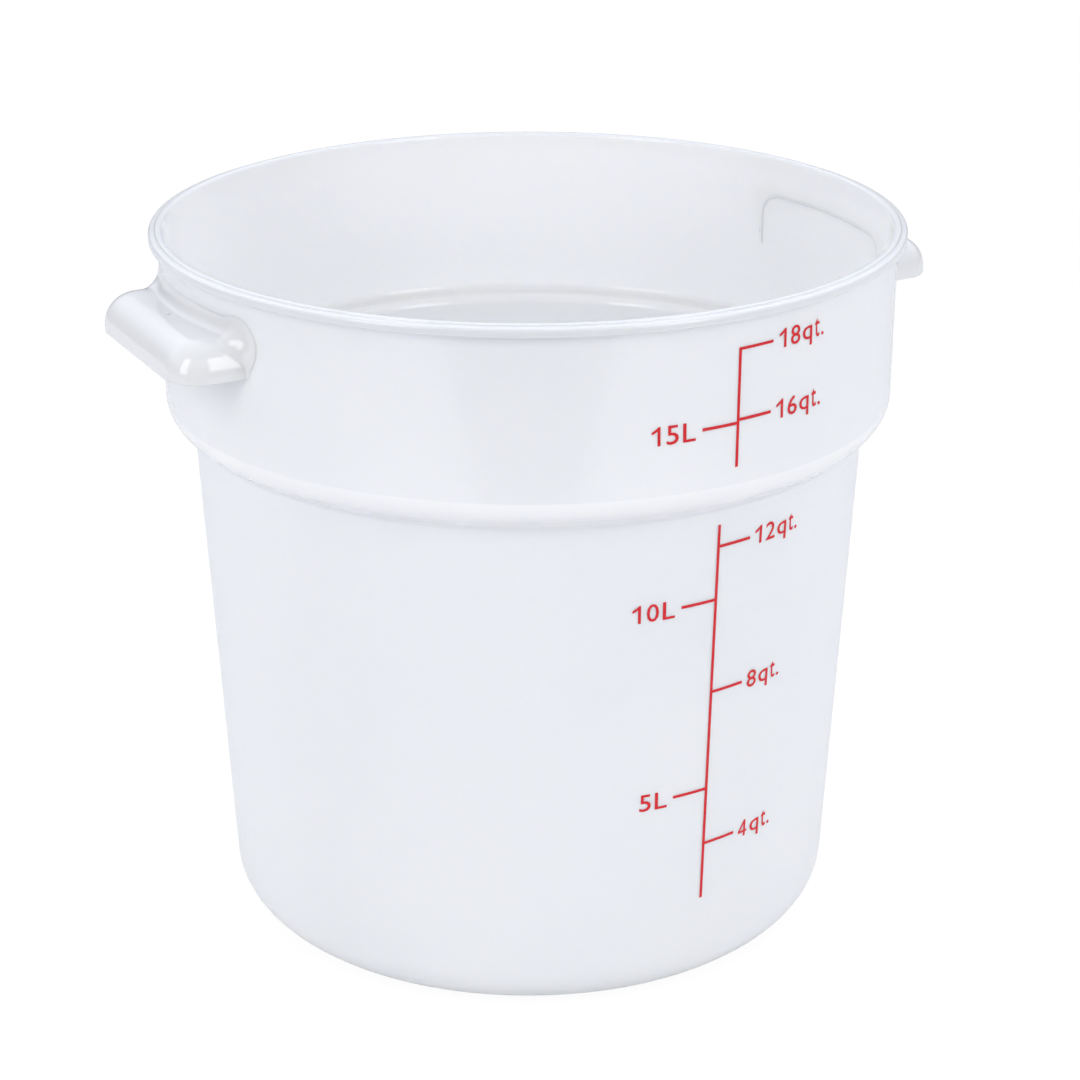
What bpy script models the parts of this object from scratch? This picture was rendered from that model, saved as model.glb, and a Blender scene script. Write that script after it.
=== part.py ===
"""Round food storage container with two hooded handles and a printed volume scale.

Metres, +Z up. The origin is the middle of the underside, on the axis of the tub. The handles lie
along the X axis and the printed scale faces -Y. Angles round the tub are counted from -Y towards +X.
"""

import math

import bmesh
import bpy
from mathutils import Vector

# Tub, measured on its outer faces. The body flares out from the foot up to the waist, the shoulder
# steps out from there, and the collar runs on up to the lip.
TOTAL_HEIGHT = 0.3053
COLLAR_HEIGHT = 0.077
SHOULDER_RISE = 0.008
FOOT_RADIUS = 0.1308
BODY_FLARE = 0.0118
SHOULDER_STEP = 0.0112
COLLAR_FLARE = 0.0005
FLOOR_CORNER_RADIUS = 0.0207
SHOULDER_ROOT_RADIUS = 0.003
SHOULDER_EDGE_RADIUS = 0.0115
WALL = 0.0024
FLOOR = 0.0026

COLLAR_FOOT = TOTAL_HEIGHT - COLLAR_HEIGHT
WAIST_HEIGHT = COLLAR_FOOT - SHOULDER_RISE
WAIST_RADIUS = FOOT_RADIUS + BODY_FLARE
COLLAR_FOOT_RADIUS = WAIST_RADIUS + SHOULDER_STEP
COLLAR_TOP_RADIUS = COLLAR_FOOT_RADIUS + COLLAR_FLARE

# Lip round the mouth
LIP_OVERHANG = 0.0037
LIP_HEIGHT = 0.0045
LIP_EDGE_RADIUS = 0.0013

# Handles: two hoods, open underneath, that hang a drop below the rim
HANDLE_DEPTH = 0.0207
HANDLE_DROP = 0.0205
HANDLE_HEIGHT = 0.0158
HANDLE_HALF_WIDTH = 0.0478
HANDLE_TOP_FALL = 0.0011
HANDLE_CORNER_RADIUS = 0.0139
HANDLE_EDGE_RADIUS = 0.0116
HANDLE_ROOT_RISE = 0.0088
HANDLE_ROOT_DEPTH = 0.0056
HOLLOW_ROOT_RISE = 0.004
ROOT_SIDE_SHARE = 0.15
HANDLE_WALL = 0.0022
HANDLE_ANGLES = {"left_handle": -math.pi / 2, "right_handle": math.pi / 2}

HANDLE_REACH = COLLAR_TOP_RADIUS + HANDLE_DEPTH
HANDLE_TOP_HEIGHT = TOTAL_HEIGHT - HANDLE_DROP
HANDLE_FOOT_HEIGHT = HANDLE_TOP_HEIGHT - HANDLE_HEIGHT

# Printed scale. The upper line runs from a rise above the collar's foot to a drop below the rim, and
# the lower line from a rise above the underside to a drop below the waist.
INK_THICKNESS = 0.0002
UPPER_SCALE_ANGLE = math.radians(4.2)
LOWER_SCALE_ANGLE = math.radians(4.9)
LINE_WIDTH = 0.001
TICK_LENGTH = 0.0158
LABEL_GAP = 0.0029
DIGIT_HEIGHT = 0.0076
TYPE_SIZE = 0.0114
UPPER_LINE_RISE = 0.013
UPPER_LINE_DROP = 0.0161
LOWER_LINE_RISE = 0.0444
LOWER_LINE_DROP = 0.0069

# The marks of each line, and where they stand between its bottom and its top
UPPER_MARKS = ("18 qt", "16 qt", "15 L")
LOWER_MARKS = ("12 qt", "10 L", "8 qt", "5 L", "4 qt")
UPPER_MARK_SHARES = (0.99, 0.398, 0.371)
LOWER_MARK_SHARES = (0.945, 0.809, 0.567, 0.305, 0.153)

# Lettering: spacing and extra stroke width in shares of the type size, the outlines of the numerals
# that are drawn in shares of the type's own, and the names of the characters
TYPE_SPACING_SHARE = 1.1
QUART_BOLD_SHARE = 0.004
LITRE_BOLD_SHARE = 0.014
ONE_SHARES = [
    [(1, 0), (1, 1), (0.35, 1), (-0.6, 0.88), (-2, 0.75), (-2, 0.62), (-0.85, 0.7), (0, 0.78), (0, 0)],
]
FOUR_SHARES = [
    [(0.6, 0), (0.81, 0), (0.81, 0.24), (1, 0.23), (1, 0.36), (0.81, 0.36), (0.81, 1), (0.65, 1),
     (0, 0.36), (0, 0.23), (0.6, 0.24)],
    [(0.6, 0.345), (0.6, 0.77), (0.2, 0.345)],
]
CHARACTER_NAMES = {
    "0": "zero", "1": "one", "2": "two", "4": "four", "5": "five", "6": "six", "8": "eight",
    "q": "q", "t": "t", "L": "litre", ".": "stop",
}

# Fits and fineness
CLEARANCE = 0.0003
MERGE_DISTANCE = 0.000001
ROUND_SEGMENTS = 72
CORNER_STEPS = 6
ARCH_STEPS = 4
TOP_STEPS = 9
SKIN_ROWS = 4
TICK_STEPS = 3
TYPE_CURVE_STEPS = 2
SMOOTH_ANGLE = math.radians(35)

# Finishes: colour, roughness
MOULDING_FINISH = ((0.81, 0.83, 0.87, 1.0), 0.3)
INK_FINISH = ((0.60, 0.025, 0.035, 1.0), 0.45)


def make_material(name, finish):
    """A plain Principled material with the given colour and roughness."""
    colour, roughness = finish
    material = bpy.data.materials.new(name)
    material.use_nodes = True
    shader = material.node_tree.nodes["Principled BSDF"]
    shader.inputs["Base Color"].default_value = colour
    shader.inputs["Roughness"].default_value = roughness
    return material


def make_object(name, bm, material):
    """Turn a bmesh into a named, smooth-shaded object."""
    bmesh.ops.remove_doubles(bm, verts=bm.verts, dist=MERGE_DISTANCE)
    bmesh.ops.recalc_face_normals(bm, faces=bm.faces)
    mesh = bpy.data.meshes.new(name)
    bm.to_mesh(mesh)
    bm.free()
    mesh.shade_smooth()
    mesh.set_sharp_from_angle(angle=SMOOTH_ANGLE)
    mesh.materials.append(material)
    piece = bpy.data.objects.new(name, mesh)
    bpy.context.scene.collection.objects.link(piece)
    return piece


def line_crossing(point_a, direction_a, point_b, direction_b):
    """The point where two lines of a section cross."""
    across = direction_a.x * direction_b.y - direction_a.y * direction_b.x
    gap = point_b - point_a
    along = (gap.x * direction_b.y - gap.y * direction_b.x) / across
    return point_a + direction_a * along


def offset_section(corners, insets):
    """Move each straight run of an open section to its left by its own inset."""
    runs = []
    for start, end, inset in zip(corners, corners[1:], insets):
        direction = (end - start).normalized()
        runs.append((start + Vector((-direction.y, direction.x)) * inset, direction))
    moved = [Vector((corners[0].x, runs[0][0].y))]
    for (point_a, direction_a), (point_b, direction_b) in zip(runs, runs[1:]):
        moved.append(line_crossing(point_a, direction_a, point_b, direction_b))
    last_point, last_direction = runs[-1]
    moved.append(line_crossing(last_point, last_direction, corners[-1], Vector((1.0, 0.0))))
    return moved


def round_section(corners, radii, steps=CORNER_STEPS):
    """Replace each inner corner of an open section by an arc of its radius."""
    points = [corners[0]]
    for before, corner, after, radius in zip(corners, corners[1:], corners[2:], radii):
        back = (before - corner).normalized()
        onward = (after - corner).normalized()
        half_angle = back.angle(onward) / 2
        centre = corner + (back + onward).normalized() * (radius / math.sin(half_angle))
        start = corner + back * (radius / math.tan(half_angle)) - centre
        end = corner + onward * (radius / math.tan(half_angle)) - centre
        for step in range(steps + 1):
            share = step / steps
            turned = (start * (1 - share) + end * share).normalized() * radius
            points.append(centre + turned)
    points.append(corners[-1])
    return points


def turned_piece(name, section, closed, material):
    """Turn a section of (radius, height) points about Z into one closed body."""
    bm = bmesh.new()
    points = [bm.verts.new((point.x, 0.0, point.y)) for point in section]
    pairs = list(zip(points, points[1:]))
    if closed:
        pairs.append((points[-1], points[0]))
    edges = [bm.edges.new(pair) for pair in pairs]
    bmesh.ops.spin(
        bm,
        geom=points + edges,
        cent=(0.0, 0.0, 0.0),
        axis=(0.0, 0.0, 1.0),
        angle=math.tau,
        steps=ROUND_SEGMENTS,
        use_merge=True,
    )
    return make_object(name, bm, material)


def tub_corners():
    """The tub's outer section before rounding: floor, lower wall, shoulder and collar."""
    return [
        Vector((0.0, 0.0)),
        Vector((FOOT_RADIUS, 0.0)),
        Vector((WAIST_RADIUS, WAIST_HEIGHT)),
        Vector((COLLAR_FOOT_RADIUS, COLLAR_FOOT)),
        Vector((COLLAR_TOP_RADIUS, TOTAL_HEIGHT - LIP_HEIGHT - CLEARANCE)),
    ]


def wall_radius(height):
    """Outer radius of the straight walls at a height, below or above the shoulder."""
    _, foot, waist, collar_foot, collar_top = tub_corners()
    low, high = (foot, waist) if height < waist.y else (collar_foot, collar_top)
    return low.x + (high.x - low.x) * (height - low.y) / (high.y - low.y)


def make_tub(material):
    """The open tub: one wall of even thickness from the floor up to the lip."""
    outer_corners = tub_corners()
    inner_corners = offset_section(outer_corners, [FLOOR, WALL, WALL, WALL])
    outer = round_section(
        outer_corners, [FLOOR_CORNER_RADIUS, SHOULDER_ROOT_RADIUS, SHOULDER_EDGE_RADIUS]
    )
    inner = round_section(
        inner_corners,
        [FLOOR_CORNER_RADIUS - WALL, SHOULDER_ROOT_RADIUS + WALL, SHOULDER_EDGE_RADIUS - WALL],
    )
    return turned_piece("tub", outer + inner[::-1], False, material)


def make_lip(material):
    """The rim: a flat band that overhangs the collar, with rounded upper edges."""
    bore = COLLAR_TOP_RADIUS - WALL
    reach = COLLAR_TOP_RADIUS + LIP_OVERHANG
    underside = TOTAL_HEIGHT - LIP_HEIGHT
    corners = [
        Vector((bore, underside)),
        Vector((bore, TOTAL_HEIGHT)),
        Vector((reach, TOTAL_HEIGHT)),
        Vector((reach, underside)),
    ]
    section = round_section(corners, [LIP_EDGE_RADIUS, LIP_EDGE_RADIUS], CORNER_STEPS // 2)
    return turned_piece("rim_lip", section, True, material)


def collar_front(across, height):
    """How far out the collar's face is, a clearance off it, to one side of a handle's middle."""
    return math.sqrt((wall_radius(height) + CLEARANCE) ** 2 - across**2)


def half_arch(inset, depth, fall):
    """Half of a handle's outline at a depth behind its front face.

    It runs from the foot of the side to the middle of the top, as (across, height, slant), where
    slant is the angle that the surface faces, from sideways to upwards. Near the front face the
    outline is drawn in, which rounds the handle's upright corners and its upper edge together.
    """
    half_width = HANDLE_HALF_WIDTH - inset
    top = HANDLE_TOP_HEIGHT - inset - fall
    corner = HANDLE_CORNER_RADIUS - inset
    edge = HANDLE_EDGE_RADIUS - inset
    ahead = max(0.0, corner - depth)
    widest_slant = math.pi / 2 if depth >= edge else math.acos(1 - depth / edge)
    outline = [(half_width - corner + math.sqrt(corner**2 - ahead**2), HANDLE_FOOT_HEIGHT, 0.0)]
    for step in range(ARCH_STEPS + 1):
        slant = widest_slant * step / ARCH_STEPS
        left_over = corner - edge * (1 - math.cos(slant))
        across = half_width - corner + math.sqrt(max(0.0, left_over**2 - ahead**2))
        outline.append((across, top - edge + edge * math.sin(slant), slant))
    across, height, slant = outline[-1]
    for step in range(1, TOP_STEPS // 2 + 1):
        outline.append((across * (1 - 2 * step / TOP_STEPS), height, math.pi / 2))
    return outline


def root_row(inset, rise, angle):
    """One row of the concave root, where a handle's skin flares out to meet the collar."""
    row = []
    depth = min(HANDLE_ROOT_DEPTH, HANDLE_DEPTH - HANDLE_CORNER_RADIUS) - inset
    for across, height, slant in half_arch(inset, HANDLE_REACH, 0.0):
        share = ROOT_SIDE_SHARE + (1 - ROOT_SIDE_SHARE) * math.sin(slant)
        flare = rise * share * (1 - math.sin(angle))
        out = depth * share**2 * (1 - math.cos(angle))
        across += flare * math.cos(slant)
        height += flare * math.sin(slant)
        row.append(Vector((collar_front(across, height) + out, across, height)))
    return row


def front_row(inset, angle):
    """One row of the rounded front of a handle's skin."""
    depth = (HANDLE_CORNER_RADIUS - inset) * (1 - math.sin(angle))
    outline = half_arch(inset, depth, HANDLE_TOP_FALL * math.sin(angle))
    return [Vector((HANDLE_REACH - inset - depth, across, height)) for across, height, _ in outline]


def skin_rows(inset, rise):
    """All rows of one skin of a handle, from the collar out, each mirrored to a whole arch."""
    turns = [math.pi / 2 * step / SKIN_ROWS for step in range(SKIN_ROWS + 1)]
    halves = [root_row(inset, rise, angle) for angle in turns]
    halves += [front_row(inset, angle) for angle in turns]
    rows = []
    for half in halves:
        mirrored = [Vector((point.x, -point.y, point.z)) for point in half]
        rows.append(mirrored + half[::-1])
    return rows


def add_skin(bm, rows):
    """Add one skin of a handle, closed at its front face. Returns its boundary in order."""
    grid = [[bm.verts.new(point) for point in row] for row in rows]
    for near, far in zip(grid, grid[1:]):
        for first in range(len(near) - 1):
            bm.faces.new((near[first], near[first + 1], far[first + 1], far[first]))
    front = grid[-1]
    last = len(front) - 1
    for first in range(last // 2):
        bm.faces.new((front[first], front[first + 1], front[last - first - 1], front[last - first]))
    right_foot = [row[-1] for row in grid[1:]]
    left_foot = [row[0] for row in grid[1:]]
    return grid[0] + right_foot + left_foot[::-1]


def make_handle(name, angle, material):
    """One hood of even wall, open underneath and towards the collar it grows from."""
    bm = bmesh.new()
    outer = add_skin(bm, skin_rows(0.0, HANDLE_ROOT_RISE))
    inner = add_skin(bm, skin_rows(HANDLE_WALL, HOLLOW_ROOT_RISE))
    for index in range(len(outer)):
        onward = (index + 1) % len(outer)
        bm.faces.new((outer[index], outer[onward], inner[onward], inner[index]))
    piece = make_object(name, bm, material)
    piece.rotation_euler.z = angle - math.pi / 2
    return piece


def wrap_on_wall(bm):
    """Wrap a flat drawing round the tub: X runs along the wall, Z is height, -Y stands off it."""
    for vert in bm.verts:
        radius = wall_radius(vert.co.z)
        scale_angle = LOWER_SCALE_ANGLE if vert.co.z < WAIST_HEIGHT else UPPER_SCALE_ANGLE
        angle = scale_angle + vert.co.x / radius
        radius += CLEARANCE - vert.co.y
        vert.co = Vector((radius * math.sin(angle), -radius * math.cos(angle), vert.co.z))


def raise_ink(bm):
    """Give a flat drawing the thickness of the ink and wrap it on the wall."""
    raised = bmesh.ops.extrude_face_region(bm, geom=bm.faces[:])["geom"]
    for item in raised:
        if isinstance(item, bmesh.types.BMVert):
            item.co.y = -INK_THICKNESS
    wrap_on_wall(bm)


def make_scale_line(name, bottom, top, marks, material):
    """A printed upright line with its ticks: quarts to the right and litres to the left."""
    half = LINE_WIDTH / 2
    thirds = [step / TICK_STEPS for step in range(TICK_STEPS + 1)]
    right_columns = [half + (TICK_LENGTH - half) * third for third in thirds]
    columns = [-column for column in reversed(right_columns)] + right_columns
    levels = {bottom, top}
    ticks = []
    for label, height in marks:
        side = -1 if label.endswith("L") else 1
        ticks.append((side, height))
        levels.update((height - half, min(height + half, top)))
    levels = sorted(levels)

    bm = bmesh.new()
    verts = {}
    for left, right in zip(columns, columns[1:]):
        for low, high in zip(levels, levels[1:]):
            middle = (low + high) / 2
            on_stem = left < 0 < right
            on_tick = any(side * right > 0 and side * left > -MERGE_DISTANCE
                          and abs(height - middle) < half for side, height in ticks)
            if not (on_stem or on_tick):
                continue
            spots = [(left, low), (right, low), (right, high), (left, high)]
            for spot in spots:
                if spot not in verts:
                    verts[spot] = bm.verts.new((spot[0], 0.0, spot[1]))
            bm.faces.new([verts[spot] for spot in spots])
    raise_ink(bm)
    return make_object(name, bm, material)


def flat_faces(curve):
    """The filled faces of a flat curve or a line of type in the XY plane, as one bmesh."""
    drawing = bpy.data.objects.new("drawing", curve)
    bpy.context.scene.collection.objects.link(drawing)
    bpy.context.view_layer.update()
    mesh = bpy.data.meshes.new_from_object(drawing)
    bpy.data.objects.remove(drawing)
    bm = bmesh.new()
    bm.from_mesh(mesh)
    bpy.data.meshes.remove(mesh)
    bmesh.ops.remove_doubles(bm, verts=bm.verts, dist=MERGE_DISTANCE)
    return bm


def characters_of(bm):
    """Split flat faces into connected characters, from left to right, each a list of outlines."""
    characters = []
    seen = set()
    for first in bm.faces:
        if first in seen:
            continue
        seen.add(first)
        found = [first]
        for face in found:
            touching = [other for edge in face.edges for other in edge.link_faces]
            for neighbour in touching:
                if neighbour not in seen:
                    seen.add(neighbour)
                    found.append(neighbour)
        characters.append([[vert.co.copy() for vert in face.verts] for face in found])
    return sorted(characters, key=lambda faces: min(point.x for face in faces for point in face))


def draw_numeral(outline_shares, type_faces):
    """The faces of a numeral drawn from its own outlines, fitted to the type's upright strokes."""
    left = min(point.x for face in type_faces for point in face)
    right = max(point.x for face in type_faces for point in face)
    top = max(point.y for face in type_faces for point in face)
    curve = bpy.data.curves.new("numeral", "CURVE")
    curve.dimensions = "2D"
    curve.fill_mode = "BOTH"
    for shares in outline_shares:
        spline = curve.splines.new("POLY")
        spline.points.add(len(shares) - 1)
        spline.use_cyclic_u = True
        for point, (across_share, up_share) in zip(spline.points, shares):
            point.co = (left + (right - left) * across_share, top * up_share, 0.0, 1.0)
    return characters_of(flat_faces(curve))[0]


def set_type(text, bold_share):
    """A line of lettering, as (character, faces) from left to right, in units of the type size."""
    curve = bpy.data.curves.new("lettering", "FONT")
    curve.body = text
    curve.offset = bold_share
    curve.space_character = TYPE_SPACING_SHARE
    curve.resolution_u = TYPE_CURVE_STEPS
    line = []
    for character, faces in zip(text, characters_of(flat_faces(curve))):
        if character == "1":
            faces = draw_numeral(ONE_SHARES, faces)
        if character == "4":
            faces = draw_numeral(FOUR_SHARES, faces)
        line.append((character, faces))
    return line


def make_label(text, height, material):
    """The printed volume beside a tick, one piece of ink for each character."""
    in_litres = text.endswith("L")
    body = text.replace(" ", "") + ("" if in_litres else ".")
    line = set_type(body, LITRE_BOLD_SHARE if in_litres else QUART_BOLD_SHARE)
    points = [point for _, faces in line for face in faces for point in face]
    tall = DIGIT_HEIGHT / max(point.y for point in points)
    start = TICK_LENGTH + LABEL_GAP - min(point.x for point in points) * TYPE_SIZE
    if in_litres:
        start = -TICK_LENGTH - LABEL_GAP - max(point.x for point in points) * TYPE_SIZE
    base = height - DIGIT_HEIGHT / 2
    for character, faces in line:
        bm = bmesh.new()
        for face in faces:
            spots = [(start + point.x * TYPE_SIZE, 0.0, base + point.y * tall) for point in face]
            bm.faces.new([bm.verts.new(spot) for spot in spots])
        bmesh.ops.remove_doubles(bm, verts=bm.verts, dist=MERGE_DISTANCE)
        raise_ink(bm)
        name = "ink_" + text.replace(" ", "_").lower() + "_" + CHARACTER_NAMES[character]
        make_object(name, bm, material)


def make_scale(material):
    """The two printed lines, one above and one below the shoulder, with their volumes."""
    upper_span = (COLLAR_FOOT + UPPER_LINE_RISE, TOTAL_HEIGHT - UPPER_LINE_DROP)
    lower_span = (LOWER_LINE_RISE, WAIST_HEIGHT - LOWER_LINE_DROP)
    lines = (
        ("upper_scale_line", upper_span, UPPER_MARKS, UPPER_MARK_SHARES),
        ("lower_scale_line", lower_span, LOWER_MARKS, LOWER_MARK_SHARES),
    )
    for name, (bottom, top), labels, shares in lines:
        marks = [(label, bottom + (top - bottom) * share) for label, share in zip(labels, shares)]
        make_scale_line(name, bottom, top, marks, material)
        for label, height in marks:
            make_label(label, height, material)


def main():
    """Build every piece of the container."""
    for old in list(bpy.data.objects):
        bpy.data.objects.remove(old)
    moulding = make_material("moulded_plastic", MOULDING_FINISH)
    ink = make_material("red_ink", INK_FINISH)
    make_tub(moulding)
    make_lip(moulding)
    for name, angle in HANDLE_ANGLES.items():
        make_handle(name, angle, moulding)
    make_scale(ink)


main()
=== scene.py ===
# %% [markdown]
# # A round food storage container
# The real object is one injection moulding of translucent white polypropylene, with two hooded handles and a
# volume scale printed on it in red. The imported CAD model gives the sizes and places, and only the ledge
# inside the tub was placed anew. This script dresses the model: each piece is modelled again with the
# rounding that a moulding has, and gets a finish of its own.
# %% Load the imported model
from math import atan2, cos, hypot, pi, radians, sin, sqrt, tan, tau

import bmesh
import bpy
from mathutils import Matrix, Vector


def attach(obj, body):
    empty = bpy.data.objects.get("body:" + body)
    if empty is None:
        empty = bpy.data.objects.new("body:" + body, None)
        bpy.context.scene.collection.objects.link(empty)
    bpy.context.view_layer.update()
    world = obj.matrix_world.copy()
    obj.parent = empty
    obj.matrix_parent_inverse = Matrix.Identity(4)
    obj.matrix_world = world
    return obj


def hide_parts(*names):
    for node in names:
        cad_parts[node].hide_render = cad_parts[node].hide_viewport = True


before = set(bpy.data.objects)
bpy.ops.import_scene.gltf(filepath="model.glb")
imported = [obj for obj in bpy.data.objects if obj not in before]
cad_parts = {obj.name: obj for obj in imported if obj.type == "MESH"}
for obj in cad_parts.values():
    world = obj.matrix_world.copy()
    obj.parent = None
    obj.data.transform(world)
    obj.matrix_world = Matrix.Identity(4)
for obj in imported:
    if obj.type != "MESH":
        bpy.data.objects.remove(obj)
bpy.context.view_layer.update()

print("CAD nodes:", len(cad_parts))

# %% [markdown]
# ## Working by hand, in code
# An operator acts on all that is selected, so every step starts by selecting just what it needs. Edges and
# faces have no names that last, because each bevel renumbers them. They are picked by place or by normal.
# %% Helpers for selecting
TINY = 0.00001


def deselect_all():
    """Go back to object mode with nothing selected."""
    if bpy.context.object and bpy.context.object.mode != "OBJECT":
        bpy.ops.object.mode_set(mode="OBJECT")
    bpy.ops.object.select_all(action="DESELECT")


def work_on(piece):
    """Make one piece the only selected and active object."""
    deselect_all()
    piece.select_set(True)
    bpy.context.view_layer.objects.active = piece


def pick(kind, wanted):
    """Select the vertices, edges or faces for which wanted is true, in edit mode, and count them."""
    bpy.ops.mesh.select_mode(type=kind)
    bpy.ops.mesh.select_all(action="DESELECT")
    form = bmesh.from_edit_mesh(bpy.context.object.data)
    elements = {"VERT": form.verts, "EDGE": form.edges, "FACE": form.faces}[kind]
    chosen = [element for element in elements if wanted(element)]
    for element in chosen:
        element.select_set(True)
    bmesh.update_edit_mesh(bpy.context.object.data)
    return len(chosen)


# %% Helpers for drawing and cutting
BISECT_REACH = 0.0001


def apply_transforms():
    """Bring the place, turn and scale of the selected object into its mesh."""
    bpy.ops.object.transform_apply(location=True, rotation=True, scale=True)


def merge_doubles(threshold=TINY):
    """Merge the vertices that share a place."""
    bpy.ops.mesh.select_all(action="SELECT")
    bpy.ops.mesh.remove_doubles(threshold=threshold)


def cut_across(point, normal, threshold=BISECT_REACH):
    """Cut the whole mesh along a plane."""
    bpy.ops.mesh.select_all(action="SELECT")
    bpy.ops.mesh.bisect(plane_co=point, plane_no=normal, threshold=threshold)


def draw_chain(name, points):
    """A new object with one chain of edges: a plane merged to a point, then extruded from place to place."""
    deselect_all()
    bpy.ops.mesh.primitive_plane_add(size=0.01)
    piece = bpy.context.object
    piece.name = piece.data.name = name
    bpy.ops.object.mode_set(mode="EDIT")
    bpy.ops.mesh.select_mode(type="VERT")
    bpy.ops.mesh.select_all(action="SELECT")
    bpy.ops.mesh.merge(type="CENTER")
    bpy.ops.transform.translate(value=points[0])
    for here, there in zip(points, points[1:]):
        step = Vector(there) - Vector(here)
        bpy.ops.mesh.extrude_vertices_move(TRANSFORM_OT_translate={"value": step})
    return piece


def round_corner(point, tangent, steps):
    """Round the chain's corner at a point, from a tangent length before it to the same after it."""
    found = pick("VERT", lambda vert: (vert.co - Vector(point)).length < TINY)
    assert found == 1, f"{found} corners at {point}"
    bpy.ops.mesh.bevel(offset=tangent, offset_type="OFFSET", segments=steps, profile=0.5, affect="VERTICES")


# %% Helpers for finishing
SHARP_ANGLE = radians(35)


def apply_modifiers(piece):
    """Apply the piece's modifiers from first to last."""
    work_on(piece)
    for modifier in list(piece.modifiers):
        bpy.ops.object.modifier_apply(modifier=modifier.name)


def finish_piece(piece):
    """Smooth shading that keeps the sharp edges, and a ride on the container's only body."""
    work_on(piece)
    bpy.ops.object.shade_smooth_by_angle(angle=SHARP_ANGLE)
    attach(piece, "root")
    lengths = [round(c * 1000, 1) for c in piece.dimensions]
    print(piece.name, "mm:", lengths, "faces:", len(piece.data.polygons))


def copy_half_round(piece, name):
    """A copy with a mesh of its own, turned half round the tub's axis and finished."""
    work_on(piece)
    bpy.ops.object.duplicate(linked=False)
    twin = bpy.context.object
    twin.name = twin.data.name = name
    twin.rotation_euler.z = pi
    apply_transforms()
    finish_piece(twin)
    return twin


# %% [markdown]
# ## The tub
# The mould for such a tub is turned on a lathe, and so is this piece: half of its section is drawn as a chain
# of edges, each corner is rounded by its own radius, and the chain is spun about the upright axis. One chain
# runs from the middle of the underside up the outside, over the lip and down the inside, so that the wall has
# its real thickness and the rim has its bead without any hidden faces. The shoulder slopes on the outside and
# is a flat ledge on the inside, with a tight corner above and below it.
# %% Sizes of the tub
FOOT_RADIUS, WAIST_RADIUS, COLLAR_FOOT_RADIUS, COLLAR_TOP_RADIUS = 0.1308, 0.1426, 0.1538, 0.1543
WAIST, COLLAR_FOOT, LIP_UNDERSIDE, RIM = 0.2203, 0.2283, 0.3008, 0.3053
WALL, FLOOR, LEDGE = 0.0024, 0.0026, 0.23
LEDGE_FALL = 0.0004
LIP_RADIUS, LIP_SHELF, BEAD_RADIUS, BEAD_TAPER = 0.158, 0.3045, 0.1553, 0.0003
RECESS_RADIUS, RECESS, RECESS_RAMP = 0.108, 0.0008, 0.0012
ROUND_STEPS, FINE_STEPS, WIDE_STEPS, FINE_RADIUS = 192, 4, 10, 0.002


def at(radius, height):
    """A point of the section, which is drawn in the XZ plane."""
    return Vector((radius, 0.0, height))


foot, waist = at(FOOT_RADIUS, 0), at(WAIST_RADIUS, WAIST)
collar_foot, collar_top = at(COLLAR_FOOT_RADIUS, COLLAR_FOOT), at(COLLAR_TOP_RADIUS, LIP_UNDERSIDE)
draft = atan2(WAIST_RADIUS - FOOT_RADIUS, WAIST)
inner_foot = at(FOOT_RADIUS + FLOOR * tan(draft) - WALL / cos(draft), FLOOR)
bore = COLLAR_TOP_RADIUS - WALL

# Each corner of the section with the radius it is rounded by, in metres
section = [
    (at(0, RECESS), 0),
    (at(RECESS_RADIUS, RECESS), 0.0006),
    (at(RECESS_RADIUS + RECESS_RAMP, 0), 0.0006),
    (foot, 0.0207),
    (waist, 0.003),
    (collar_foot, 0.0115),
    (collar_top, 0.0006),
    (at(LIP_RADIUS, LIP_UNDERSIDE), 0.0006),
    (at(LIP_RADIUS, LIP_SHELF), 0.0013),
    (at(BEAD_RADIUS, LIP_SHELF), 0.0004),
    (at(BEAD_RADIUS - BEAD_TAPER, RIM), 0.0005),
    (at(bore, RIM), 0.0012),
    (at(bore, LEDGE), 0.003),
    (at(WAIST_RADIUS - WALL, LEDGE - LEDGE_FALL), 0.004),
    (inner_foot, 0.0183),
    (at(0, FLOOR), 0),
]

# %% Draw, round and turn the tub
tub = draw_chain("moulded_tub", [point for point, _ in section])
for (before, _), (corner, radius), (after, _) in zip(section, section[1:], section[2:]):
    turn = (corner - before).angle(after - corner)
    round_corner(corner, radius * tan(turn / 2), FINE_STEPS if radius < FINE_RADIUS else WIDE_STEPS)
bpy.ops.mesh.select_all(action="SELECT")
bpy.ops.mesh.spin(steps=ROUND_STEPS, angle=tau, center=(0, 0, 0), axis=(0, 0, 1))
merge_doubles(TINY / 10)
bpy.ops.mesh.normals_make_consistent(inside=False)
finish_piece(tub)
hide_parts("tub", "rim_lip")

# %% [markdown]
# ## The hooded handles
# Each handle is a hood that the fingers reach into from below. A block with rounded edges has its outer
# shape, so a cube is bevelled, first its two upright front edges and then the long edge round the top. The
# underside and the back are open. At the collar the real hood flares out in a soft hollow curve, as moulded
# corners do. So the open edge is extruded back in rows, and weights say how far each row swells out. A
# Displace modifier makes the flare, a Shrinkwrap lays the rows on the collar and a second Displace lifts them
# off it again in a quarter turn. The first row stands a little ahead of the curve, which keeps the flat sides
# flat where the light glances off them. A third Displace lets the top fall slightly towards the front, and
# Solidify gives the hood its wall.
# %% Sizes of the handles
HOOD_REACH, HOOD_BACK = 0.175, 0.1608
HOOD_TOP, HOOD_FOOT, HOOD_HALF_WIDTH = 0.2848, 0.269, 0.0478
CORNER_RADIUS, CORNER_STEPS, EDGE_RADIUS, EDGE_STEPS = 0.0139, 12, 0.0116, 10
COLUMNS, COLUMN_STEP = 9, 0.0034
HOOD_WALL, TOP_FALL, EASE = 0.0022, 0.0011, 0.0006

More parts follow.
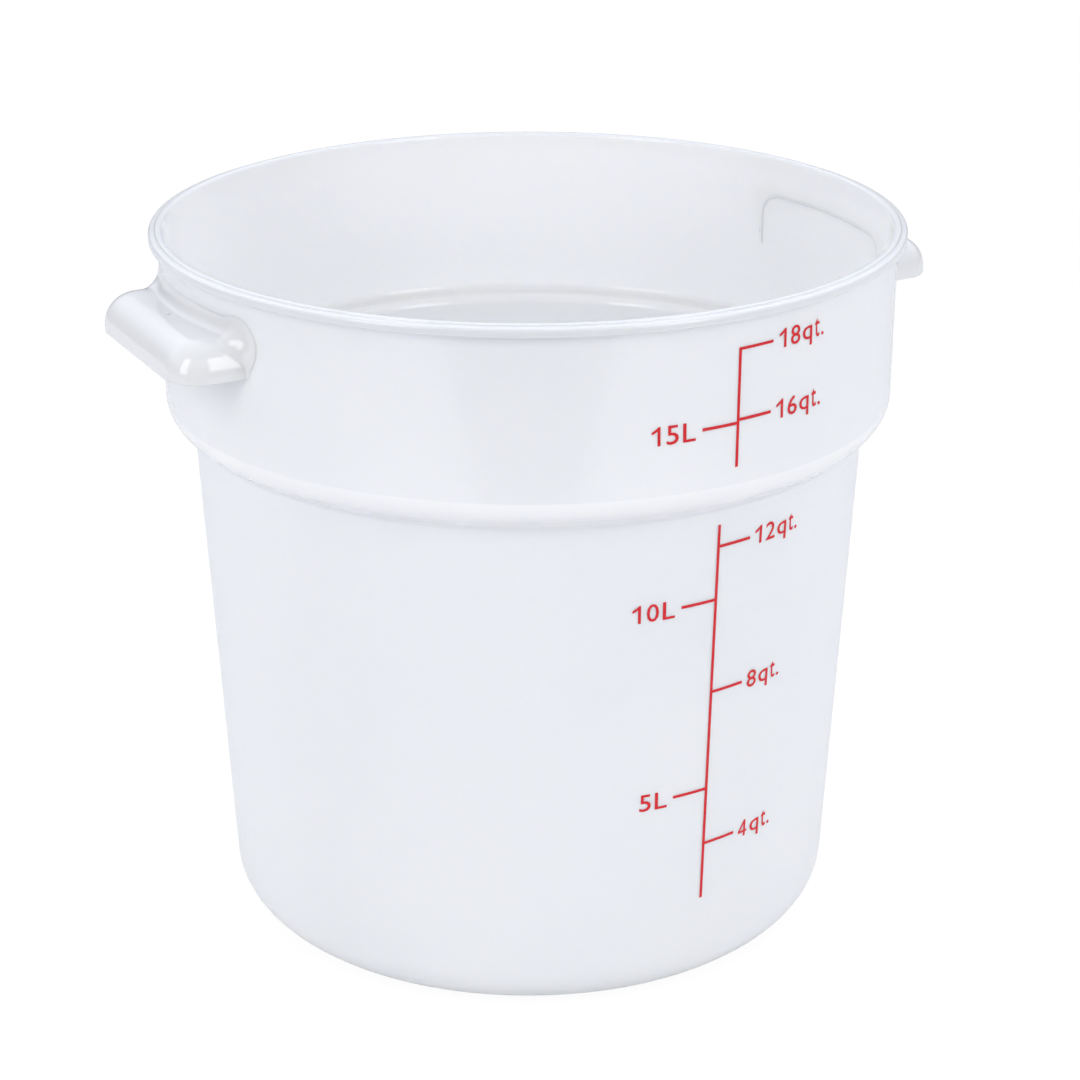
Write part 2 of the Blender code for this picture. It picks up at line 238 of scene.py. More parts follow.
# The flare: how far it rises and stands out, and the share of that at the top, the corners and the sides
ROOT_RISE, ROOT_DEPTH = 0.0082, 0.0056
TOP_SHARE, CORNER_SHARE, SIDE_SHARE, WIDEST_SHARE = 0.85, 0.6, 0.15, 1.3
# Its rows, the step from row to row, and how far the first one stands ahead
ROOT_ROWS, ROW_STEP, SUPPORT = 7, 0.0008, 0.0012

# %% Open a block and round it
deselect_all()
bpy.ops.mesh.primitive_cube_add(
    size=1,
    location=((HOOD_BACK + HOOD_REACH) / 2, 0, (HOOD_FOOT + HOOD_TOP) / 2),
    scale=(HOOD_REACH - HOOD_BACK, 2 * HOOD_HALF_WIDTH, HOOD_TOP - HOOD_FOOT),
)
hood = bpy.context.object
hood.name = hood.data.name = "right_hood"
apply_transforms()
bpy.ops.object.mode_set(mode="EDIT")
pick("FACE", lambda face: face.normal.z < -0.9 or face.normal.x < -0.9)
bpy.ops.mesh.delete(type="FACE")


def is_front_upright(edge):
    """True for the two upright edges of the block's front."""
    ends = [vert.co for vert in edge.verts]
    return abs(ends[0].z - ends[1].z) > TINY and min(end.x for end in ends) > HOOD_REACH - TINY


def is_upper_edge(edge):
    """True for the edges between the block's top and its sides, but not for the open back."""
    return not edge.is_boundary and all(vert.co.z > HOOD_TOP - TINY for vert in edge.verts)


pick("EDGE", is_front_upright)
bpy.ops.mesh.bevel(offset=CORNER_RADIUS, segments=CORNER_STEPS, profile=0.5, affect="EDGES")
pick("EDGE", is_upper_edge)
bpy.ops.mesh.bevel(offset=EDGE_RADIUS, segments=EDGE_STEPS, profile=0.5, affect="EDGES", clamp_overlap=False)
for column in range(-COLUMNS, COLUMNS + 1):
    cut_across((0, column * COLUMN_STEP, 0), (0, 1, 0))

# %% Extrude the root rows
pick("EDGE", lambda edge: edge.is_boundary and all(vert.co.x < HOOD_BACK + TINY for vert in edge.verts))
for _ in range(ROOT_ROWS + 1):
    bpy.ops.mesh.extrude_edges_move(TRANSFORM_OT_translate={"value": (-ROW_STEP, 0, 0)})
bpy.ops.mesh.select_all(action="SELECT")
bpy.ops.mesh.normals_make_consistent(inside=False)
bpy.ops.object.mode_set(mode="OBJECT")
print("hood with", ROOT_ROWS + 1, "root rows, faces:", len(hood.data.polygons))

# %% Weight the rows
groups = {name: hood.vertex_groups.new(name=name) for name in ("flare", "root", "lift", "fall")}
for vert in hood.data.vertices:
    if vert.co.x < HOOD_BACK + TINY:
        row = round((HOOD_BACK - vert.co.x) / ROW_STEP) - 1
        ahead = SUPPORT / (ROOT_DEPTH * WIDEST_SHARE**2) if row < 0 else 0.0
        swing = pi / 2 * (1 - max(0, row) / ROOT_ROWS)
        upward = max(0.0, vert.normal.z)
        slanting = 2 * upward * sqrt(max(0.0, 1 - upward**2))
        share = SIDE_SHARE + (TOP_SHARE - SIDE_SHARE) * upward + CORNER_SHARE * slanting
        groups["flare"].add([vert.index], share / WIDEST_SHARE * (1 - sin(swing)), "REPLACE")
        groups["root"].add([vert.index], 1.0, "REPLACE")
        groups["lift"].add([vert.index], (share / WIDEST_SHARE) ** 2 * (1 - cos(swing)) + ahead, "REPLACE")
    elif vert.co.z > HOOD_FOOT + TINY:
        ahead = (vert.co.x - HOOD_REACH + CORNER_RADIUS) / CORNER_RADIUS
        groups["fall"].add([vert.index], max(0.0, ahead), "REPLACE")


# %% Flare the root on to the collar
def add_displace(piece, group, direction, strength):
    """A Displace modifier that moves the vertices of a group by their weight."""
    modifier = piece.modifiers.new(group, "DISPLACE")
    modifier.direction = direction
    modifier.mid_level = 0.0
    modifier.strength = strength
    modifier.vertex_group = group


def add_shrinkwrap(piece, axis, positive=False, group=""):
    """A Shrinkwrap that projects a piece, or one group of it, along an axis on to the tub."""
    modifier = piece.modifiers.new("on_wall", "SHRINKWRAP")
    modifier.target = tub
    modifier.wrap_method = "PROJECT"
    modifier.use_project_x = axis == "X"
    modifier.use_project_y = axis == "Y"
    modifier.use_negative_direction = not positive
    modifier.use_positive_direction = positive
    modifier.vertex_group = group


add_displace(hood, "flare", "NORMAL", ROOT_RISE * WIDEST_SHARE)
add_shrinkwrap(hood, "X", group="root")
add_displace(hood, "lift", "X", ROOT_DEPTH * WIDEST_SHARE**2)
add_displace(hood, "fall", "Z", -TOP_FALL)
solid = hood.modifiers.new("wall", "SOLIDIFY")
solid.thickness = HOOD_WALL
solid.offset = -1.0
solid.use_even_offset = True
apply_modifiers(hood)

# %% Ease the rim of the hollow
bpy.ops.object.mode_set(mode="EDIT")
found = pick("EDGE", lambda edge: all(vert.co.z < HOOD_FOOT + TINY for vert in edge.verts)
             and len(edge.link_faces) == 2 and edge.calc_face_angle() > radians(60))
bpy.ops.mesh.bevel(offset=EASE, segments=3, profile=0.5, affect="EDGES")
print("edges eased round the hollow:", found)

# %% [markdown]
# The small round mark on top of each hood is where the mould pushes the finished piece out. A low disc with
# a dished top and a rounded edge is joined to the hood, and then the hood is copied and turned half round.
# %% Mark the hood and copy it
MARK_PLACE, MARK_RADIUS, MARK_DEPTH, MARK_PROUD = 0.1605, 0.0012, 0.0012, 0.0004
MARK_EDGE, MARK_DISH, MARK_EASE = 0.0005, 0.0002, 0.00015
mark_top = HOOD_TOP + MARK_PROUD
deselect_all()
bpy.ops.mesh.primitive_cylinder_add(
    vertices=20,
    radius=MARK_RADIUS,
    depth=MARK_DEPTH,
    location=(MARK_PLACE, 0, mark_top - MARK_DEPTH / 2),
)
mark = bpy.context.object
apply_transforms()
bpy.ops.object.mode_set(mode="EDIT")
pick("FACE", lambda face: face.normal.z > 0.9)
bpy.ops.mesh.inset(thickness=MARK_EDGE)
bpy.ops.transform.translate(value=(0, 0, -MARK_DISH))
pick("EDGE", lambda edge: all(abs(vert.co.z - mark_top) < TINY for vert in edge.verts)
     and edge.calc_face_angle() > radians(40))
bpy.ops.mesh.bevel(offset=MARK_EASE, segments=2, affect="EDGES")
work_on(hood)
mark.select_set(True)
bpy.ops.object.join()
finish_piece(hood)
left_hood = copy_half_round(hood, "left_hood")
for piece, node in ((hood, "right_handle"), (left_hood, "left_handle")):
    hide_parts(node)

# %% [markdown]
# ## The hood outlines inside the tub
# Where a hood joins the collar the plastic is thick, and it sinks a little as it cools. Inside the tub this
# shows as a fine line in the outline of the hood. An arch of edges is laid on the inner wall, turned into a
# thin round bead and sunk into the wall, so that only its crest stands out.
# %% Draw and wrap the fine line
ARCH_DRAWN_AT = 0.13
ARCH_HALF_WIDTH, ARCH_FOOT, ARCH_TOP, ARCH_CORNER = 0.0469, 0.264, 0.2875, 0.009
ARCH_CORNER_STEPS, ARCH_CUTS = 8, 15
CREST_RADIUS, CREST_SUNK = 0.0005, 0.00028

arch_points = [
    (ARCH_DRAWN_AT, -ARCH_HALF_WIDTH, ARCH_FOOT),
    (ARCH_DRAWN_AT, -ARCH_HALF_WIDTH, ARCH_TOP),
    (ARCH_DRAWN_AT, ARCH_HALF_WIDTH, ARCH_TOP),
    (ARCH_DRAWN_AT, ARCH_HALF_WIDTH, ARCH_FOOT),
]
right_line = draw_chain("right_hood_line", arch_points)
for corner in arch_points[1:3]:
    round_corner(corner, ARCH_CORNER, ARCH_CORNER_STEPS)
pick("EDGE", lambda edge: edge.calc_length() > ARCH_CORNER)
bpy.ops.mesh.subdivide(number_cuts=ARCH_CUTS)
add_shrinkwrap(right_line, "X", positive=True)
apply_modifiers(right_line)

# %% Thicken the line and copy it
bpy.ops.object.convert(target="CURVE")
right_line.data.bevel_depth = CREST_RADIUS
right_line.data.bevel_resolution = 2
right_line.data.use_fill_caps = True
bpy.ops.object.convert(target="MESH")
right_line.location.x = CREST_SUNK
apply_transforms()
bpy.ops.object.mode_set(mode="EDIT")
merge_doubles()
bpy.ops.mesh.normals_make_consistent(inside=False)
finish_piece(right_line)
left_line = copy_half_round(right_line, "left_hood_line")

# %% [markdown]
# ## The printed scale
# The volume scale is screen printed: a thin film of red ink on the finished wall. Each line is a narrow plane
# that is cut at its marks, and the ticks are drawn out of its sides. It stays flat until it is done, then
# Shrinkwrap presses it on the wall and Solidify gives it the thickness of the ink. The print of the real
# container sits a little askew, so the ticks and words climb to the right by about one degree.
# %% Sizes of the print
SCALE_ANGLE = radians(4.5)
LINE_WIDTH, TICK_LENGTH, LABEL_GAP, DIGIT_HEIGHT = 0.0012, 0.0158, 0.0029, 0.00764
INK = 0.00012
PRINT_SLOPE = 0.018
DRAWING_DISTANCE = -0.175

# Cuts that let the ticks bend round the wall
TICK_CUTS = (-0.012, -0.008, -0.004, 0.004, 0.008, 0.012)

# The lowest and the highest point of each line, its shift to the side and its lean
UPPER_ENDS, UPPER_SHIFT, UPPER_LEAN = (0.2413, 0.2892), -0.00084, 0.0043
LOWER_ENDS, LOWER_SHIFT, LOWER_LEAN = (0.0444, 0.2134), 0.00102, -0.0095
UPPER_TICKS = {"18 qt": 0.2887, "16 qt": 0.26035, "15 L": 0.2591}
LOWER_TICKS = {"12 qt": 0.2041, "10 L": 0.18115, "8 qt": 0.14015, "5 L": 0.096, "4 qt": 0.0702}


# %% Helpers for printing
def print_on_wall(piece, angle):
    """Press a flat drawing in the XZ plane on to the wall at an angle round the tub, and thicken it."""
    piece.location.y = DRAWING_DISTANCE
    work_on(piece)
    apply_transforms()
    piece.rotation_euler.z = angle
    add_shrinkwrap(piece, "Y", positive=True)
    film = piece.modifiers.new("ink", "SOLIDIFY")
    film.thickness = INK
    film.offset = 1.0
    apply_modifiers(piece)
    apply_transforms()
    finish_piece(piece)


def wall_radius(height):
    """Outer radius of the straight wall at a height."""
    if height > COLLAR_FOOT:
        return COLLAR_FOOT_RADIUS
    return FOOT_RADIUS + (WAIST_RADIUS - FOOT_RADIUS) * height / WAIST


def side_of(text):
    """Litres stand on the left of the line, quarts on the right."""
    return -1 if text.endswith("L") else 1


# %% Draw the two lines with their ticks
def print_line(name, bottom, top, shift, lean, ticks):
    """One upright line, shifted sideways and leaning, with a tick on its side for each volume."""
    deselect_all()
    bpy.ops.mesh.primitive_plane_add(size=1, location=(0, 0, (bottom + top) / 2), rotation=(pi / 2, 0, 0))
    line = bpy.context.object
    line.name = line.data.name = name
    line.scale = (LINE_WIDTH, top - bottom, 1)
    apply_transforms()
    bpy.ops.object.mode_set(mode="EDIT")
    for height in ticks.values():
        for cut in (height - LINE_WIDTH / 2, height + LINE_WIDTH / 2):
            if cut < top - TINY:
                cut_across((0, 0, cut), (0, 0, 1), TINY / 10)
    for text, height in ticks.items():
        side = side_of(text)
        pick("EDGE", lambda edge: all(
            abs(vert.co.x - side * LINE_WIDTH / 2) < TINY and abs(vert.co.z - height) < LINE_WIDTH / 2 + TINY
            for vert in edge.verts))
        reach = TICK_LENGTH - LINE_WIDTH / 2
        move = (side * reach, 0, side * reach * (PRINT_SLOPE + lean))
        bpy.ops.mesh.extrude_edges_move(TRANSFORM_OT_translate={"value": move})
    for column in TICK_CUTS:
        cut_across((column, 0, 0), (1, 0, 0))
    bpy.ops.object.mode_set(mode="OBJECT")
    middle = (bottom + top) / 2
    line.rotation_euler.y = lean
    line.location.x = -middle * lean
    print_on_wall(line, SCALE_ANGLE + shift / wall_radius(middle))
    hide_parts(name.replace("printed_", "") + "_scale_line")
    return line


ink_pieces = [
    print_line("printed_upper", *UPPER_ENDS, UPPER_SHIFT, UPPER_LEAN, UPPER_TICKS),
    print_line("printed_lower", *LOWER_ENDS, LOWER_SHIFT, LOWER_LEAN, LOWER_TICKS),
]

# %% [markdown]
# Blender's own font draws most characters. Each one is a text object that becomes a mesh and is then scaled
# to the width and height that it has in print. The font's 1 is a bare bar and its 4 has a closed top, so
# these two are drawn as outlines and filled.
# %% Characters
FONT_RESOLUTION, FONT_WEIGHT = 3, 0.003

# Width of each character, the gap after it, its lowest and its highest point, in metres
GLYPHS = {
    "0": (0.0051, 0.0017, 0.0, DIGIT_HEIGHT),
    "1": (0.0035, 0.0025, 0.0, DIGIT_HEIGHT),
    "2": (0.0051, 0.0015, 0.0, DIGIT_HEIGHT),
    "4": (0.0049, 0.0019, 0.0, DIGIT_HEIGHT),
    "5": (0.0050, 0.0018, 0.0, DIGIT_HEIGHT),
    "6": (0.0051, 0.0015, 0.0, DIGIT_HEIGHT),
    "8": (0.0051, 0.0015, 0.0, DIGIT_HEIGHT),
    "q": (0.0054, 0.0016, -0.0023, 0.0056),
    "t": (0.0029, 0.0012, 0.0, 0.0074),
    ".": (0.0014, 0.0, 0.0, 0.0014),
    "L": (0.0053, 0.0, 0.0, DIGIT_HEIGHT),
}
ONE = [[(1, 0), (1, 1), (0.78, 1), (0.47, 0.88), (0, 0.75), (0, 0.62), (0.38, 0.7), (0.67, 0.79), (0.67, 0)]]
FOUR = [
    [(0.61, 0), (0.81, 0), (0.81, 0.24), (1, 0.24), (1, 0.36), (0.81, 0.36), (0.81, 1), (0.65, 1),
     (0, 0.37), (0, 0.24), (0.61, 0.24)],
    [(0.61, 0.36), (0.61, 0.77), (0.2, 0.36)],
]


def draw_outlines(outlines):
    """A flat filled mesh from closed outlines, the first round the others."""
    parts = []
    for outline in outlines:
        points = [Vector((x, y, 0)) for x, y in outline]
        parts.append(draw_chain("outline", points + points[:1]))
        bpy.ops.object.mode_set(mode="OBJECT")
    work_on(parts[0])
    for part in parts:
        part.select_set(True)
    if len(parts) > 1:
        bpy.ops.object.join()
    bpy.ops.object.mode_set(mode="EDIT")
    merge_doubles()
    bpy.ops.mesh.select_all(action="SELECT")
    bpy.ops.mesh.fill()
    bpy.ops.object.mode_set(mode="OBJECT")
    glyph = bpy.context.object
    if sum(face.normal.z for face in glyph.data.polygons) < 0:
        bpy.ops.object.mode_set(mode="EDIT")
        bpy.ops.mesh.select_all(action="SELECT")
        bpy.ops.mesh.flip_normals()
        bpy.ops.object.mode_set(mode="OBJECT")
    return glyph


def draw_glyph(character, left):
    """One character as a flat mesh in the XZ plane, with its left edge at a place along the line."""
    deselect_all()
    if character in "14":
        glyph = draw_outlines(ONE if character == "1" else FOUR)
    else:
        bpy.ops.object.text_add()
        glyph = bpy.context.object
        glyph.data.body = character
        glyph.data.resolution_u = FONT_RESOLUTION
        glyph.data.offset = FONT_WEIGHT
        bpy.ops.object.convert(target="MESH")
    width, _, low, high = GLYPHS[character]
    across = [vert.co.x for vert in glyph.data.vertices]
    upright = [vert.co.y for vert in glyph.data.vertices]
    glyph.scale.x = width / (max(across) - min(across))
    glyph.scale.y = (high - low) / (max(upright) - min(upright))
    glyph.rotation_euler.x = pi / 2
    glyph.location = (left - min(across) * glyph.scale.x, 0, low - min(upright) * glyph.scale.y)
    work_on(glyph)
    apply_transforms()
    return glyph


# %% Set and print the labels
EXTRA_GAP = {"18 qt": 0.0004}
LABEL_SHIFT, LABEL_SHIFT_AT = 0.00027, 0.21


def print_label(text, tick_height, line_shift):
    """One printed volume beside its tick, centred on its own place round the tub."""
    letters = text.replace(" ", "") + ("" if text.endswith("L") else ".")
    length = sum(GLYPHS[letter][0] + GLYPHS[letter][1] for letter in letters) - GLYPHS[letters[-1]][1]
    left = -length / 2
    glyphs = []
    for letter in letters:
        glyphs.append(draw_glyph(letter, left))
        left += GLYPHS[letter][0] + GLYPHS[letter][1]
    work_on(glyphs[0])
    for glyph in glyphs:
        glyph.select_set(True)
    bpy.ops.object.join()
    label = bpy.context.object
    volume = text.replace(" ", "_").lower()
    label.name = label.data.name = "printed_" + volume
    bpy.ops.object.mode_set(mode="EDIT")
    merge_doubles()
    bpy.ops.object.mode_set(mode="OBJECT")
    middle = side_of(text) * (TICK_LENGTH + LABEL_GAP + EXTRA_GAP.get(text, 0) + length / 2)
    label.location.z = -DIGIT_HEIGHT / 2
    apply_transforms()
    label.rotation_euler.y = -PRINT_SLOPE
    label.location.z = tick_height + middle * PRINT_SLOPE
    print_on_wall(label, SCALE_ANGLE + (line_shift + middle) / wall_radius(tick_height))
    prefix = "ink_" + volume + "_"
    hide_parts(*[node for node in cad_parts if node.startswith(prefix)])
    return label


for text, height in UPPER_TICKS.items():
    ink_pieces.append(print_label(text, height, UPPER_SHIFT))
for text, height in LOWER_TICKS.items():
    ink_pieces.append(print_label(text, height, LABEL_SHIFT + (height - LABEL_SHIFT_AT) * LOWER_LEAN))
print("printed pieces:", len(ink_pieces))

# %% [markdown]
# ## Materials
# Light goes into polypropylene, scatters and comes out again some way off. The shader's subsurface part does
# the same, under a clear gloss. Collar, shoulder, hoods and inside are polished, the lip is a little duller,
# and the lower body has the fine satin grain of a blasted mould. The tub is one plastic, but the inside and
# the shoulder get paler colours, painted light for the light that has passed the wall and fills them, and the
# lip gets a slightly darker colour, painted shade. The light has a short reach inside, or else the shade
# under the hoods would show there. Hoods and fine lines stand in the wall, where scattered light would
# outline them in grey, so they have none. Noise on Object coordinates gives the faint flow marks and waves of
# a moulding.
# %% Helpers for node materials
def new_material(name):
    """An empty node material, its node tree and its output node."""
    material = bpy.data.materials.new(name)
    material.use_nodes = True
    tree = material.node_tree
    tree.nodes.clear()
    return material, tree, tree.nodes.new("ShaderNodeOutputMaterial")


def add_noise(tree, scale, detail=2.0):
    """A noise texture on Object coordinates, and its value socket."""
    place = tree.nodes.new("ShaderNodeTexCoord")
    noise = tree.nodes.new("ShaderNodeTexNoise")
    noise.inputs["Scale"].default_value = scale
    noise.inputs["Detail"].default_value = detail
    tree.links.new(place.outputs["Object"], noise.inputs["Vector"])
    return noise.outputs["Fac"]


def map_range(tree, value, low, high, start=0.3, end=0.7):
    """Spread a value from one range over another, by default the middle of a noise."""
    node = tree.nodes.new("ShaderNodeMapRange")
    for name, number in (("From Min", start), ("From Max", end), ("To Min", low), ("To Max", high)):
        node.inputs[name].default_value = number
    tree.links.new(value, node.inputs["Value"])
    return node.outputs["Result"]


def mix_colours(tree, factor, first, second):
    """Mix two colours by a value."""
    node = tree.nodes.new("ShaderNodeMix")
    node.data_type = "RGBA"
    node.inputs["A"].default_value = (*first, 1)
    node.inputs["B"].default_value = (*second, 1)
    tree.links.new(factor, node.inputs["Factor"])
    return node.outputs["Result"]


def add_bump(tree, height, strength, distance, normal=None):
    """A bump from a height value, on top of another bump if one is given."""
    node = tree.nodes.new("ShaderNodeBump")
    node.inputs["Strength"].default_value = strength
    node.inputs["Distance"].default_value = distance
    tree.links.new(height, node.inputs["Height"])
    if normal:
        tree.links.new(normal, node.inputs["Normal"])
    return node.outputs["Normal"]


# %% The finishes of the moulding, some with painted light and shade in their colours
OUTSIDE, OUTSIDE_CLOUD = (0.824, 0.836, 0.86), (0.842, 0.851, 0.868)
# The inside's colours are paler and bluer than the outside's: painted light for light come through the wall
INSIDE_PAINTED_LIGHT, INSIDE_PAINTED_LIGHT_CLOUD = (0.966, 0.981, 0.998), (0.973, 0.985, 0.999)
# The lip's colours are a little darker than the outside's: painted shade
LIP_PAINTED_SHADE, LIP_PAINTED_SHADE_CLOUD = (0.808, 0.82, 0.85), (0.82, 0.832, 0.858)
# The shoulder's colours are paler too: painted light for light come through from the ledge
SHOULDER_PAINTED_LIGHT, SHOULDER_PAINTED_LIGHT_CLOUD = (0.878, 0.885, 0.908), (0.89, 0.897, 0.915)
PLASTIC_IOR = 1.49
REACH_OF_COLOURS = (1.0, 1.0, 1.1)

# Scale and detail of each noise, and how strong and high the two bumps are
CLOUDS, WAVES, GRAIN, GLOSS = (14, 3.0), (22, 1.0), (2600, 2.0), (60, 3.0)
WAVE_STRENGTH, WAVE_HEIGHT, GRAIN_HEIGHT = 0.12, 0.0006, 0.00003


def make_polypropylene(name, roughness, grain_strength, reach, first=OUTSIDE, second=OUTSIDE_CLOUD):
    """Cloudy polypropylene with a range of roughness, a grain and a reach of the light inside it."""
    material, tree, output = new_material(name)
    colour = mix_colours(tree, map_range(tree, add_noise(tree, *CLOUDS), 0, 1), first, second)
    waves = add_bump(tree, add_noise(tree, *WAVES), WAVE_STRENGTH, WAVE_HEIGHT)
    grain = add_bump(tree, add_noise(tree, *GRAIN), grain_strength, GRAIN_HEIGHT, waves)
    shader = tree.nodes.new("ShaderNodeBsdfPrincipled")
    shader.inputs["IOR"].default_value = PLASTIC_IOR
    shader.inputs["Subsurface Weight"].default_value = 1.0 if reach else 0.0
    shader.inputs["Subsurface Radius"].default_value = REACH_OF_COLOURS
    shader.inputs["Subsurface Scale"].default_value = reach
    tree.links.new(colour, shader.inputs["Base Color"])
    tree.links.new(map_range(tree, add_noise(tree, *GLOSS), *roughness), shader.inputs["Roughness"])
    tree.links.new(grain, shader.inputs["Normal"])
    tree.links.new(shader.outputs["BSDF"], output.inputs["Surface"])
    return material


polished = make_polypropylene("polished_polypropylene", (0.03, 0.06), 0.03, 0.003)
satin = make_polypropylene("satin_polypropylene", (0.36, 0.46), 0.6, 0.003)
# The inside's paler colour is painted light
inside = make_polypropylene("inside_polypropylene_painted_light", (0.04, 0.08), 0.03, 0.0015, INSIDE_PAINTED_LIGHT, INSIDE_PAINTED_LIGHT_CLOUD)
# The lip's slightly darker colour is painted shade
lip = make_polypropylene("lip_polypropylene_painted_shade", (0.18, 0.24), 0.02, 0.001, LIP_PAINTED_SHADE, LIP_PAINTED_SHADE_CLOUD)
# The shoulder's paler colour is painted light
shoulder = make_polypropylene("shoulder_polypropylene_painted_light", (0.03, 0.06), 0.03, 0.003, SHOULDER_PAINTED_LIGHT, SHOULDER_PAINTED_LIGHT_CLOUD)
hooded = make_polypropylene("hood_polypropylene", (0.015, 0.03), 0.02, 0)
lined = make_polypropylene("line_polypropylene", (0.04, 0.08), 0.03, 0)
for finish_and_painted_light in (polished, satin, inside, lip, shoulder):
    tub.data.materials.append(finish_and_painted_light)
for piece in (hood, left_hood):
    piece.data.materials.append(hooded)
for piece in (right_line, left_line):
    piece.data.materials.append(lined)

# %% Which faces of the tub get which finish and which painted light and shade
SATIN_TOP, SHOULDER_TOP, SHOULDER_SLANT = WAIST + 0.0005, COLLAR_FOOT + 0.008, (-0.9, -0.03)
LIP_BOTTOM, LIP_INNER_RADIUS = LIP_UNDERSIDE - 0.0005, bore + 0.0003
FACING_DOWN, FACING_UP, FACING_IN = -0.5, 0.5, -0.3


def outwardness(face):
    """How far a face looks away from the tub's axis, from -1 to 1."""
    place = face.calc_center_median()
    return (face.normal.x * place.x + face.normal.y * place.y) / max(TINY, hypot(place.x, place.y))


def is_satin(face):
    """True on the outside of the lower body, up to the root of the shoulder."""
    outside = outwardness(face) > 0 or face.normal.z < FACING_DOWN
    return outside and face.calc_center_median().z < SATIN_TOP


# These faces get the inside's paler colour, painted light
def is_inside(face):
    """True on the inner wall, the ledge and the floor, up to just under the lip."""
    within = outwardness(face) < FACING_IN or face.normal.z > FACING_UP
    return within and face.calc_center_median().z < LIP_SHELF


# These faces get the shoulder's paler colour, painted light
def is_shoulder(face):
    """True on the outside of the shoulder, which faces down."""
    slanting = SHOULDER_SLANT[0] < face.normal.z < SHOULDER_SLANT[1]
    return slanting and SATIN_TOP <= face.calc_center_median().z < SHOULDER_TOP


# These faces get the lip's slightly darker colour, painted shade
def is_lip(face):
    """True on the band round the mouth."""
    place = face.calc_center_median()
    return place.z > LIP_BOTTOM and hypot(place.x, place.y) > LIP_INNER_RADIUS


# %% Give the tub its finishes, with their painted light and shade
work_on(tub)
bpy.ops.object.mode_set(mode="EDIT")
# The inside and shoulder slots carry painted light in their colours, the lip slot painted shade
for slot, wanted in ((1, is_satin), (2, is_inside), (3, is_lip), (4, is_shoulder)):
    found = pick("FACE", wanted)
    tub.active_material_index = slot
    bpy.ops.object.material_slot_assign()
    print(tub.material_slots[slot].name, "on", found, "faces")
bpy.ops.object.mode_set(mode="OBJECT")

# %% [markdown]
# The ink is a matt film. Screen printing leaves it a little uneven, so its colour and roughness vary finely.
# %% The ink
RED, RED_CLOUD = (0.68, 0.012, 0.020), (0.74, 0.018, 0.026)
INK_CLOUDS, INK_GRAIN = 900, 1500
INK_ROUGHNESS, INK_SPECULAR = (0.4, 0.52), 0.3

red_ink, tree, output = new_material("red_screen_ink")
shader = tree.nodes.new("ShaderNodeBsdfPrincipled")
shader.inputs["Specular IOR Level"].default_value = INK_SPECULAR
ink_colour = mix_colours(tree, map_range(tree, add_noise(tree, INK_CLOUDS), 0, 1), RED, RED_CLOUD)
ink_roughness = map_range(tree, add_noise(tree, INK_GRAIN), *INK_ROUGHNESS)
tree.links.new(ink_colour, shader.inputs["Base Color"])
tree.links.new(ink_roughness, shader.inputs["Roughness"])
tree.links.new(shader.outputs["BSDF"], output.inputs["Surface"])
for piece in ink_pieces:
    piece.data.materials.append(red_ink)

# %% [markdown]
# ## Floor, light and camera
# The photo shows the container on pure white, lit by two large upright softboxes in front of a white table,
# one on each side of the camera. Their reflections show in the hood and on the ledge inside. The collar
# reflects the darker room between them, and the edge of the table. The room behind is pale, and its light
# reaches the inside over the rim. The camera was fitted to the ellipses of the rim, the shoulder and the
# foot.
# %% Camera
FOCAL_PIXELS, PICTURE_PIXELS, SENSOR_WIDTH = 2768.1, 1080, 36
PITCH, YAW, DISTANCE, HEIGHT = 0.3742, 0.0044, 1.1281, 0.6026
TURN = radians(27)


def in_room(x, y, z):
    """A point of the room, x to the camera's right and y away from it, in the part's frame."""
    return Vector((x * cos(TURN) + y * sin(TURN), -x * sin(TURN) + y * cos(TURN), z))


forward = in_room(sin(YAW) * cos(PITCH), cos(YAW) * cos(PITCH), -sin(PITCH))
right = in_room(cos(YAW), -sin(YAW), 0)
up = right.cross(forward)
camera_data = bpy.data.cameras.new("camera")
camera_data.sensor_width = SENSOR_WIDTH
camera_data.lens = FOCAL_PIXELS / PICTURE_PIXELS * SENSOR_WIDTH
camera = bpy.data.objects.new("camera", camera_data)
placing = Matrix((right, up, -forward)).transposed().to_4x4()
placing.translation = in_room(0, -DISTANCE, HEIGHT)
camera.matrix_world = placing
bpy.context.scene.collection.objects.link(camera)
bpy.context.scene.camera = camera

# %% Table top
TABLE_FRONT, TABLE_BACK, TABLE_WIDTH = -0.64, 2.6, 4.4
TABLE_WHITE, TABLE_ROUGHNESS = (0.85, 0.85, 0.85, 1), 0.7
GLOW_SHARE, GLOW_STRENGTH = 0.88, 1.05

deselect_all()
bpy.ops.mesh.primitive_plane_add(size=1)
table = bpy.context.object
table.name = "table_top"
table.scale = (TABLE_WIDTH, TABLE_BACK - TABLE_FRONT, 1)
table.location = in_room(0, (TABLE_FRONT + TABLE_BACK) / 2, 0)
table.rotation_euler.z = -TURN
apply_transforms()

# The camera sees the table mostly as a white glow, so that only a faint shadow shows round the foot
white_table, tree, output = new_material("white_table")
top_shader = tree.nodes.new("ShaderNodeBsdfPrincipled")
top_shader.inputs["Base Color"].default_value = TABLE_WHITE
top_shader.inputs["Roughness"].default_value = TABLE_ROUGHNESS
glow = tree.nodes.new("ShaderNodeEmission")
glow.inputs["Strength"].default_value = GLOW_STRENGTH
path = tree.nodes.new("ShaderNodeLightPath")
share = tree.nodes.new("ShaderNodeMath")
share.operation = "MULTIPLY"
share.inputs[1].default_value = GLOW_SHARE
tree.links.new(path.outputs["Is Camera Ray"], share.inputs[0])
mix = tree.nodes.new("ShaderNodeMixShader")
tree.links.new(share.outputs["Value"], mix.inputs["Fac"])
tree.links.new(top_shader.outputs["BSDF"], mix.inputs[1])
tree.links.new(glow.outputs["Emission"], mix.inputs[2])
tree.links.new(mix.outputs["Shader"], output.inputs["Surface"])
table.data.materials.append(white_table)

